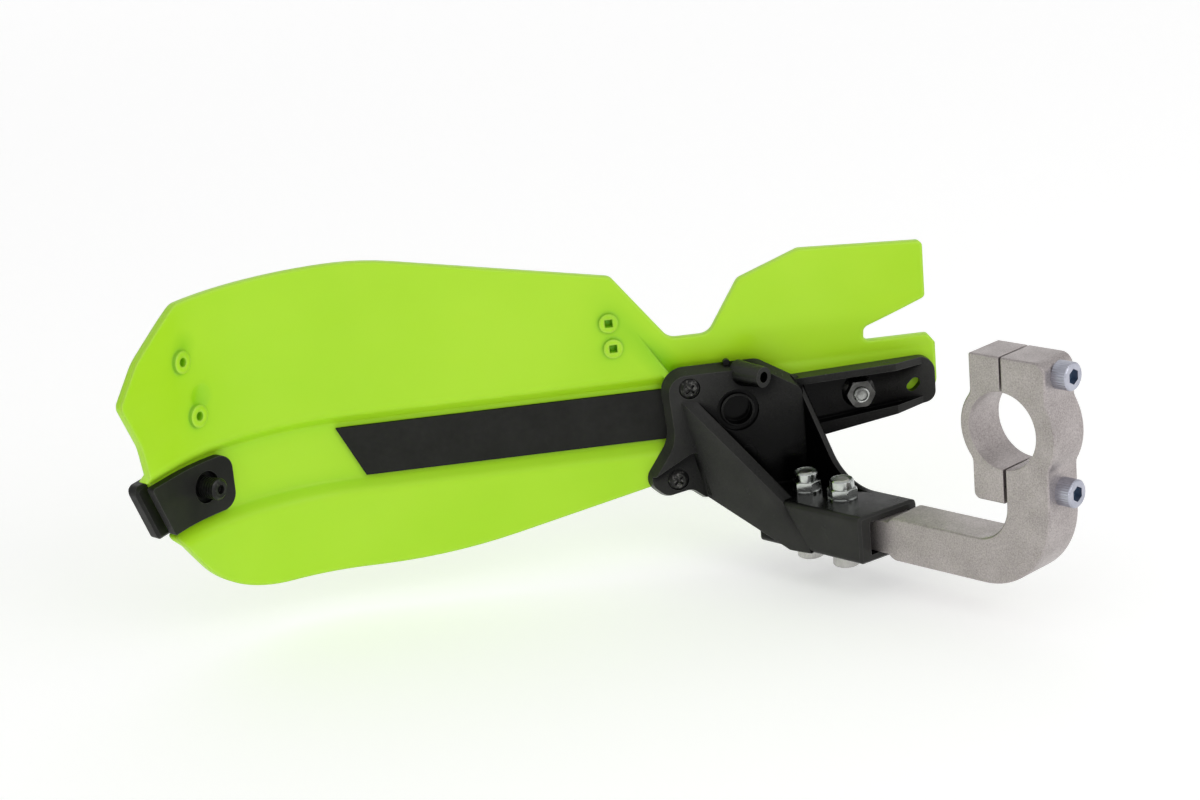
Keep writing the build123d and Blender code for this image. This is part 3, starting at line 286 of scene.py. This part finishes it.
def two_tone(tree, value, first, second):
    """Colour between two tones, the second a colour or a socket."""
    node = tree.nodes.new("ShaderNodeMix")
    node.data_type = "RGBA"
    node.inputs["A"].default_value = (*first, 1.0)
    if isinstance(second, tuple):
        node.inputs["B"].default_value = (*second, 1.0)
    else:
        tree.links.new(second, node.inputs["B"])
    tree.links.new(value, node.inputs["Factor"])
    return node.outputs["Result"]


def hollow_shade(tree, reach, low, high):
    """Value that falls from open faces to hollows of the piece itself, used to paint shade into
    the hollows.
    """
    node = tree.nodes.new("ShaderNodeAmbientOcclusion")
    node.samples = HOLLOW_SAMPLES
    node.only_local = True
    node.inputs["Distance"].default_value = reach
    return spread(tree, node.outputs["AO"], low, high)


def eased_edges(tree, radius):
    """Normal that rolls over the sharp edges, and a value that rises from faces to edges."""
    eased = tree.nodes.new("ShaderNodeBevel")
    eased.samples = EDGE_SAMPLES
    eased.inputs["Radius"].default_value = radius
    face = tree.nodes.new("ShaderNodeNewGeometry")
    match = tree.nodes.new("ShaderNodeVectorMath")
    match.operation = "DOT_PRODUCT"
    tree.links.new(eased.outputs["Normal"], match.inputs[0])
    tree.links.new(face.outputs["Normal"], match.inputs[1])
    return eased.outputs["Normal"], spread(tree, match.outputs["Value"], *EDGE_BAND)


def relief(tree, normal, height, strength, depth):
    """Fine surface relief from a height value, laid over a normal."""
    node = tree.nodes.new("ShaderNodeBump")
    node.inputs["Strength"].default_value = strength
    node.inputs["Distance"].default_value = depth
    tree.links.new(height, node.inputs["Height"])
    tree.links.new(normal, node.inputs["Normal"])
    return node.outputs["Normal"]


def stretched(tree, where, scale):
    """Coordinates stretched along the axes."""
    node = tree.nodes.new("ShaderNodeMapping")
    node.inputs["Scale"].default_value = scale
    tree.links.new(where, node.inputs["Vector"])
    return node.outputs["Vector"]


def sink_mark_shade(tree, where, place):
    """Value that falls towards the middle of a sink mark, used to paint shade into it."""
    away = vector_maths(tree, "DISTANCE", where, place)
    return spread(tree, away, 0.0, SINK_REACH, *SINK_OPEN)


def valley_shade(tree, where):
    """Value that falls towards the line of a valley that the shell's shape lacks, more so towards
    its foot, used to paint shade there.
    """
    run = VALLEY_FOOT - VALLEY_TOP
    start, end = (share * run.length for share in VALLEY_FALL)
    from_top = vector_maths(tree, "SUBTRACT", where, VALLEY_TOP)
    across = vector_maths(tree, "CROSS_PRODUCT", from_top, run.normalized())
    beside = vector_maths(tree, "LENGTH", across)
    down = vector_maths(tree, "DOT_PRODUCT", from_top, run.normalized())
    near = spread(tree, beside, 0.0, VALLEY_REACH, 1.0, 0.0)
    shade_share = spread(tree, down, start, end, 0.0, VALLEY_SHADE_DEPTH)
    return maths(tree, "SUBTRACT", 1.0, maths(tree, "MULTIPLY", near, shade_share))


def lime_plastic():
    """Satin moulded lime plastic: cloudy tone, painted highlight on the rim, painted shade in
    hollows, sink marks and a valley, grain, faint streaks.
    """
    finish, tree, shader, where = new_finish("lime_plastic")
    normal, edge = eased_edges(tree, SHELL_EDGE)
    cloud = noise(tree, where, *LIME_CLOUD)
    lime = two_tone(tree, spread(tree, cloud, *NOISE_BAND), LIME, LIME_PALE)
    # Painted highlight along the shell's rim
    lime = two_tone(tree, spread(tree, edge, 0.0, 1.0, *RIM_HIGHLIGHT_SHARE), LIME_RIM_HIGHLIGHT, lime)
    # Painted shade in the hollows, the sink marks and the valley
    unshaded = hollow_shade(tree, *LIME_HOLLOWS)
    for place in SINK_MARKS:
        unshaded = maths(tree, "MULTIPLY", unshaded, sink_mark_shade(tree, where, place))
    unshaded = maths(tree, "MULTIPLY", unshaded, valley_shade(tree, where))
    lime = two_tone(tree, unshaded, LIME_SHADE, lime)
    streak = noise(tree, stretched(tree, where, STREAK_STRETCH), *LIME_STREAK)
    gloss = spread(tree, streak, *STREAK_BAND, *LIME_GLOSS)
    grain = relief(tree, normal, noise(tree, where, *LIME_GRAIN), *LIME_RELIEF)
    wire(tree, shader, lime, gloss, grain)
    shader.inputs["Specular IOR Level"].default_value = LIME_SPECULAR
    shader.inputs["Subsurface Weight"].default_value = LIME_SCATTER
    shader.inputs["Subsurface Radius"].default_value = LIME_SCATTER_RADIUS
    shader.inputs["Subsurface Scale"].default_value = LIME_SCATTER_SCALE
    return finish


def black_nylon(name, tone_dark, tone, gloss_range):
    """Moulded black nylon: fine grain, patchy sheen, painted shade in hollows, edges rubbed paler
    with a painted highlight.
    """
    finish, tree, shader, where = new_finish(name)
    normal, edge = eased_edges(tree, NYLON_EDGE)
    cloud = noise(tree, where, *NYLON_CLOUD)
    nylon = two_tone(tree, spread(tree, cloud, *NYLON_BAND), tone_dark, tone)
    # Rubbed edges, paler from wear and from a painted highlight
    rubbed_highlight = maths(tree, "MULTIPLY", edge, noise(tree, where, *NYLON_RUB_HIGHLIGHT))
    nylon = two_tone(tree, spread(tree, rubbed_highlight, *RUB_HIGHLIGHT_BAND, *RUB_HIGHLIGHT_SHARE), NYLON_RUBBED_HIGHLIGHT, nylon)
    # Painted shade in the hollows
    nylon = two_tone(tree, hollow_shade(tree, *NYLON_HOLLOWS), NYLON_SHADE, nylon)
    gloss = spread(tree, noise(tree, where, *NYLON_PATCH), *NOISE_BAND, *gloss_range)
    grain = relief(tree, normal, noise(tree, where, *NYLON_GRAIN), *NYLON_RELIEF)
    wire(tree, shader, nylon, gloss, grain)
    shader.inputs["Specular IOR Level"].default_value = NYLON_SPECULAR
    return finish


def strip_rubber():
    """Matt black strip with a close-set pebble."""
    finish, tree, shader, where = new_finish("strip_rubber")
    normal, _ = eased_edges(tree, METAL_EDGE)
    rubber = two_tone(tree, noise(tree, where, *STRIP_CLOUD), STRIP_BLACK, STRIP_GREY)
    gloss = spread(tree, noise(tree, where, *STRIP_PATCH), *NOISE_BAND, *STRIP_GLOSS)
    pebble = relief(tree, normal, noise(tree, where, *STRIP_PEBBLE), *STRIP_RELIEF)
    wire(tree, shader, rubber, gloss, pebble)
    shader.inputs["Specular IOR Level"].default_value = STRIP_SPECULAR
    return finish


def tumbled_aluminium():
    """Tumbled aluminium: close speckled grain, faint clouds, painted shade in hollows and edges
    worn brighter.
    """
    finish, tree, shader, where = new_finish("tumbled_aluminium")
    normal, edge = eased_edges(tree, METAL_EDGE)
    cloud = noise(tree, where, *ALUMINIUM_CLOUD)
    grain = noise(tree, where, *ALUMINIUM_GRAIN)
    faint = spread(tree, cloud, *CLOUD_BAND, *CLOUD_SHARE)
    speckle = maths(tree, "ADD", spread(tree, grain, *SPECKLE_BAND), faint)
    worn = maths(tree, "ADD", speckle, maths(tree, "MULTIPLY", edge, cloud))
    metal = two_tone(tree, worn, ALUMINIUM_DARK, ALUMINIUM)
    # Painted shade in the hollows
    metal = two_tone(tree, hollow_shade(tree, *ALUMINIUM_HOLLOWS), ALUMINIUM_SHADE, metal)
    gloss = spread(tree, cloud, *NOISE_BAND, *ALUMINIUM_GLOSS)
    wire(tree, shader, metal, gloss, relief(tree, normal, grain, *ALUMINIUM_RELIEF))
    shader.inputs["Metallic"].default_value = ALUMINIUM_METAL
    return finish


def knurl(tree, where, node, apart):
    """Height of the knurled teeth round two screw heads that stand apart along one axis."""
    low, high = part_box(node)
    middle = (low + high) / 2
    parts = tree.nodes.new("ShaderNodeSeparateXYZ")
    tree.links.new(where, parts.inputs["Vector"])
    away = maths(tree, "SUBTRACT", parts.outputs[apart], middle[apart])
    reach = (high[apart] - low[apart]) / 2 - HEAD_RADIUS
    across = maths(tree, "SUBTRACT", maths(tree, "ABSOLUTE", away), reach)
    beside = maths(tree, "SUBTRACT", parts.outputs[0], middle[0])
    angle = maths(tree, "ARCTAN2", across, beside)
    teeth = maths(tree, "SINE", maths(tree, "MULTIPLY", angle, KNURL_TEETH))
    squares = [maths(tree, "POWER", side, 2.0) for side in (across, beside)]
    radius = maths(tree, "SQRT", maths(tree, "ADD", *squares))
    return maths(tree, "MULTIPLY", teeth, spread(tree, radius, *KNURL_RIM))


def thread(tree, where, turn, pitch):
    """Height of a screw thread whose axis is turned from Y."""
    turned = tree.nodes.new("ShaderNodeMapping")
    turned.inputs["Rotation"].default_value = (0.0, 0.0, math.radians(-turn))
    tree.links.new(where, turned.inputs["Vector"])
    parts = tree.nodes.new("ShaderNodeSeparateXYZ")
    tree.links.new(turned.outputs["Vector"], parts.inputs["Vector"])
    return maths(tree, "PINGPONG", maths(tree, "DIVIDE", parts.outputs[1], pitch), HALF_PITCH)


def plated_steel(name, tone, tone_dark, shade_tone, gloss_range, cut=None):
    """Plated steel, slightly uneven, with painted shade in hollows and fine drawing marks over any
    knurl or thread.
    """
    finish, tree, shader, where = new_finish(name)
    normal, _ = eased_edges(tree, STEEL_EDGE)
    if cut:
        normal = relief(tree, normal, cut(tree, where), *CUT_RELIEF)
    cloud = noise(tree, where, *PLATING_CLOUD)
    plating = two_tone(tree, spread(tree, cloud, *NOISE_BAND), tone_dark, tone)
    # Painted shade in the hollows
    plating = two_tone(tree, hollow_shade(tree, *PLATING_HOLLOWS), shade_tone, plating)
    gloss = spread(tree, cloud, *NOISE_BAND, *gloss_range)
    drawn = relief(tree, normal, noise(tree, where, *PLATING_DRAWN), *PLATING_RELIEF)
    wire(tree, shader, plating, gloss, drawn)
    shader.inputs["Metallic"].default_value = PLATING_METAL
    return finish


def oxide_steel(name, tone_worn, cut=None):
    """Black oxide steel, worn a little grey in patches and on its edges."""
    finish, tree, shader, where = new_finish(name)
    normal, edge = eased_edges(tree, STEEL_EDGE)
    if cut:
        normal = relief(tree, normal, cut(tree, where), *STUD_RELIEF)
    wear = noise(tree, where, *OXIDE_WEAR)
    patches = spread(tree, wear, *WEAR_BAND)
    worn = maths(tree, "ADD", patches, maths(tree, "MULTIPLY", edge, wear))
    oxide = two_tone(tree, worn, OXIDE, tone_worn)
    gloss = spread(tree, wear, *SHEEN_BAND, *OXIDE_GLOSS)
    grain = relief(tree, normal, noise(tree, where, *OXIDE_GRAIN), *OXIDE_RELIEF)
    wire(tree, shader, oxide, gloss, grain)
    shader.inputs["Metallic"].default_value = OXIDE_METAL
    return finish


def insert_nylon():
    """Smooth nylon of the locking rings."""
    finish, tree, shader, where = new_finish("insert_nylon")
    normal, _ = eased_edges(tree, STEEL_EDGE)
    nylon = two_tone(tree, noise(tree, where, *INSERT_CLOUD), INSERT_DARK, INSERT)
    gloss = spread(tree, noise(tree, where, *INSERT_PATCH), *NOISE_BAND, *INSERT_GLOSS)
    wire(tree, shader, nylon, gloss, normal)
    return finish


def dress(node, finish):
    """Gives a CAD node its finish."""
    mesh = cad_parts[node].data
    mesh.materials.clear()
    mesh.materials.append(finish)


def dress_all():
    """Every CAD node's finish."""
    nylon = black_nylon("black_nylon", NYLON_BLACK, NYLON_GREY, NYLON_GLOSS)
    pad_nylon = black_nylon("pad_nylon", PAD_BLACK, PAD_GREY, PAD_GLOSS)
    aluminium = tumbled_aluminium()
    bright = plated_steel("bright_steel", BRIGHT, BRIGHT_DARK, BRIGHT_SHADE, BRIGHT_GLOSS)
    smoked = plated_steel("smoked_steel", SMOKED, SMOKED_DARK_AND_SHADE, NYLON_SHADE, SMOKED_GLOSS)
    oxide = oxide_steel("oxide_steel", OXIDE_WORN)
    dress("guard_shell", lime_plastic())
    dress("channel_strip", strip_rubber())
    dress("mount_bracket", nylon)
    dress("nut_inserts", insert_nylon())
    for node in ("end_plate", "end_bumper"):
        dress(node, pad_nylon)
    for node in ("clamp_arm", "clamp_cap"):
        dress(node, aluminium)
    for node, apart, tone, tone_dark in (
        ("clamp_bolts", 2, ZINC, ZINC_DARK),
        ("socket_bolts", 1, PLAIN_ZINC, PLAIN_ZINC_DARK),
    ):
        teeth = functools.partial(knurl, node=node, apart=apart)
        dress(node, plated_steel(node + "_zinc", tone, tone_dark, ZINC_SHADE, ZINC_GLOSS, teeth))
    dress("socket_nuts", bright)
    rail_thread = functools.partial(thread, turn=RAIL_BOLT_TURN, pitch=RAIL_BOLT_PITCH)
    rail_steel = plated_steel(
        "rail_bolt_steel", BRIGHT, SMOKED, SMOKED_DARK_AND_SHADE, RAIL_BOLT_GLOSS, rail_thread
    )
    dress("rail_bolt", rail_steel)
    dress("rail_nut", smoked)
    dress("base_screws", oxide)
    stud_thread = functools.partial(thread, turn=STUD_TURN, pitch=STUD_PITCH)
    dress("end_bolt", oxide_steel("stud_steel", OXIDE_DULL, stud_thread))


def studio_floor():
    """Pale floor that curves up into a backdrop behind the part."""
    low = cad_low.z - FLOOR_DROP
    floor = bmesh.new()
    front = floor.verts.new((FLOOR_LEFT, FLOOR_FRONT, low))
    back = floor.verts.new((FLOOR_LEFT, FLOOR_BACK, low))
    floor.edges.new((front, back))
    curve = bmesh.ops.spin(
        floor,
        geom=[back],
        cent=(FLOOR_LEFT, FLOOR_BACK, low + CURVE_RADIUS),
        axis=(1.0, 0.0, 0.0),
        angle=math.radians(CURVE_ANGLE),
        steps=CURVE_STEPS,
    )
    top = bmesh.ops.extrude_vert_indiv(floor, verts=[curve["geom_last"][0]])["verts"]
    bmesh.ops.translate(floor, verts=top, vec=WALL_RISE)
    sheet = bmesh.ops.extrude_edge_only(floor, edges=floor.edges[:])
    moved = [item for item in sheet["geom"] if isinstance(item, bmesh.types.BMVert)]
    bmesh.ops.translate(floor, verts=moved, vec=(FLOOR_WIDTH, 0.0, 0.0))
    bmesh.ops.recalc_face_normals(floor, faces=floor.faces)
    for face in floor.faces:
        face.smooth = True
    turn = Matrix.Rotation(math.radians(FLOOR_TURN), 4, "Z")
    bmesh.ops.transform(floor, matrix=turn, verts=floor.verts)
    mesh = bpy.data.meshes.new("studio_floor")
    floor.to_mesh(mesh)
    floor.free()
    piece = bpy.data.objects.new("studio_floor", mesh)
    bpy.context.scene.collection.objects.link(piece)
    finish, _, shader, _ = new_finish("floor_pale")
    shader.inputs["Base Color"].default_value = (*FLOOR_PALE, 1.0)
    shader.inputs["Roughness"].default_value = FLOOR_ROUGHNESS
    shader.inputs["Emission Color"].default_value = (*WHITE, 1.0)
    shader.inputs["Emission Strength"].default_value = FLOOR_GLOW
    mesh.materials.append(finish)


def camera():
    """Camera at the photograph's place."""
    toward = CAMERA_RIGHT.cross(CAMERA_UP).normalized()
    up = toward.cross(CAMERA_RIGHT).normalized()
    right = up.cross(toward)
    lens = bpy.data.cameras.new("camera")
    lens.lens = LENS
    lens.sensor_width = SENSOR
    lens.clip_start, lens.clip_end = CAMERA_CLIP
    eye = bpy.data.objects.new("camera", lens)
    turn = Matrix((right, up, toward)).transposed().to_4x4()
    eye.matrix_world = Matrix.Translation(CAMERA_PLACE) @ turn
    bpy.context.scene.collection.objects.link(eye)
    bpy.context.scene.camera = eye


def soft_box(name, place, aim, size, power):
    """Square soft light that looks at a point."""
    lamp = bpy.data.lights.new(name, "AREA")
    lamp.shape = "SQUARE"
    lamp.size = size
    lamp.energy = power
    box = bpy.data.objects.new(name, lamp)
    box.location = place
    box.rotation_euler = (aim - Vector(place)).to_track_quat("-Z", "Y").to_euler()
    bpy.context.scene.collection.objects.link(box)


def studio_light():
    """White surround with a soft front light and two weak side lights."""
    world = bpy.data.worlds.new("studio")
    world.use_nodes = True
    surround = world.node_tree.nodes["Background"]
    surround.inputs["Color"].default_value = (*WHITE, 1.0)
    surround.inputs["Strength"].default_value = SURROUND
    bpy.context.scene.world = world
    middle = (cad_low + cad_high) / 2
    for name, place, size, power in SOFT_BOXES:
        soft_box(name, place, middle, size, power)


bpy.context.scene.view_settings.view_transform = "Standard"
dress_all()
studio_floor()
camera()
studio_light()
